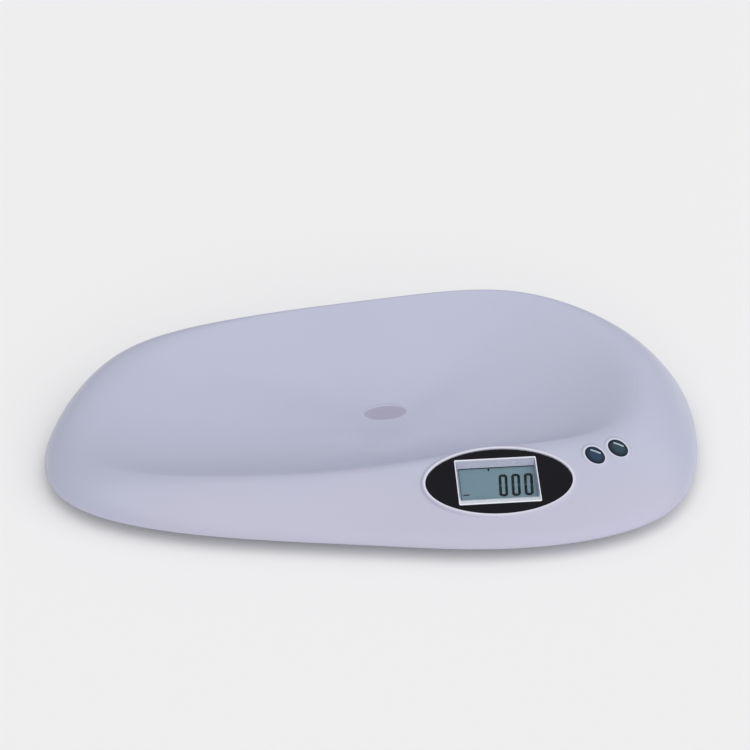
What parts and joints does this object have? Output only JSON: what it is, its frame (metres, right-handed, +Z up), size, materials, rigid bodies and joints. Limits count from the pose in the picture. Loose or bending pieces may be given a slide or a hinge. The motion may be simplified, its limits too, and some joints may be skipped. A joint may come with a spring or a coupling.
{
  "type": "digital baby weighing scale",
  "caption": "Low free-form baby weighing tray with a raised back and head end, a tilted oval digital display and two oval keys on its front slope.",
  "frame": {"origin": "on the table, under the middle of the tray", "axes": "+X along the tray to the right of someone facing the display, +Y to the back, +Z up"},
  "size_m": [0.5498, 0.2861, 0.0774],
  "materials": {
    "tray_plastic": "semi-gloss lavender-grey white moulding",
    "base_plastic": "matt lavender-grey moulding",
    "white_plastic": "matt white moulding",
    "mark_print": "plain mauve-grey inlay",
    "bezel_black": "semi-gloss black",
    "frame_silver": "silver-white bevelled frame",
    "clear_lens": "clear acrylic",
    "lcd_grey": "grey-teal liquid crystal display",
    "zebra_rubber": "striped contact rubber",
    "board_green": "solder-masked circuit board",
    "chip_black": "moulded black component bodies",
    "plug_ivory": "ivory connector nylon",
    "key_slate": "glossy dark slate-blue",
    "pad_rubber": "soft black rubber",
    "cell_steel": "nickel-plated sheet steel",
    "zinc_steel": "zinc-plated screws",
    "battery_case": "plain printed steel jacket",
    "lead_red": "red insulated lead"
  },
  "bodies": {
    "root": {"tray_shell": "tray_plastic", "tray_mark": "mark_print", "base_shell": "base_plastic", "case_screws": "zinc_steel", "display_bezel": "bezel_black", "window_frame": "frame_silver", "window_lens": "clear_lens", "lcd_glass": "lcd_grey", "lcd_carrier": "white_plastic", "zebra_strips": "zebra_rubber", "main_board": "board_green", "board_chips": "chip_black", "board_plugs": "plug_ivory", "board_screws": "zinc_steel", "switch_bodies": "chip_black", "key_board": "board_green", "key_board_screws": "zinc_steel", "battery": "battery_case", "battery_snap": "chip_black", "battery_leads": "lead_red", "foot_pad_front_left": "pad_rubber", "foot_pad_front_right": "pad_rubber", "foot_pad_rear_right": "pad_rubber", "foot_pad_rear_left": "pad_rubber", "foot_cup_front_left": "white_plastic", "foot_cup_front_right": "white_plastic", "foot_cup_rear_right": "white_plastic", "foot_cup_rear_left": "white_plastic", "load_cell_front_left": "cell_steel", "load_cell_front_right": "cell_steel", "load_cell_rear_right": "cell_steel", "load_cell_rear_left": "cell_steel", "cell_retainer_front_left": "white_plastic", "cell_retainer_front_right": "white_plastic", "cell_retainer_rear_right": "white_plastic", "cell_retainer_rear_left": "white_plastic", "retainer_screws": "zinc_steel", "cell_lead_front_left": "lead_red", "cell_lead_front_right": "lead_red", "cell_lead_rear_right": "lead_red", "cell_lead_rear_left": "lead_red"},
    "key_left": {"key_left": "key_slate", "switch_plunger_left": "plug_ivory"},
    "key_right": {"key_right": "key_slate", "switch_plunger_right": "plug_ivory"},
    "battery_door": {"battery_door": "base_plastic"}
  },
  "joints": [
    {"name": "key_left_press", "type": "slide", "parent": "root", "child": "key_left", "axis": [-0.0646, 0.3123, -0.9478], "range_m": [0, 0.0008], "stiffness_N_per_m": 400, "springref_m": -0.0005},
    {"name": "key_right_press", "type": "slide", "parent": "root", "child": "key_right", "axis": [-0.0646, 0.3123, -0.9478], "range_m": [0, 0.0008], "stiffness_N_per_m": 400, "springref_m": -0.0005},
    {"name": "battery_door_hinge", "type": "hinge", "parent": "root", "child": "battery_door", "pos_m": [-0.07062, -0.04792, 0.0063], "axis": [1, 0, 0], "range_deg": [0, 95]}
  ]
}
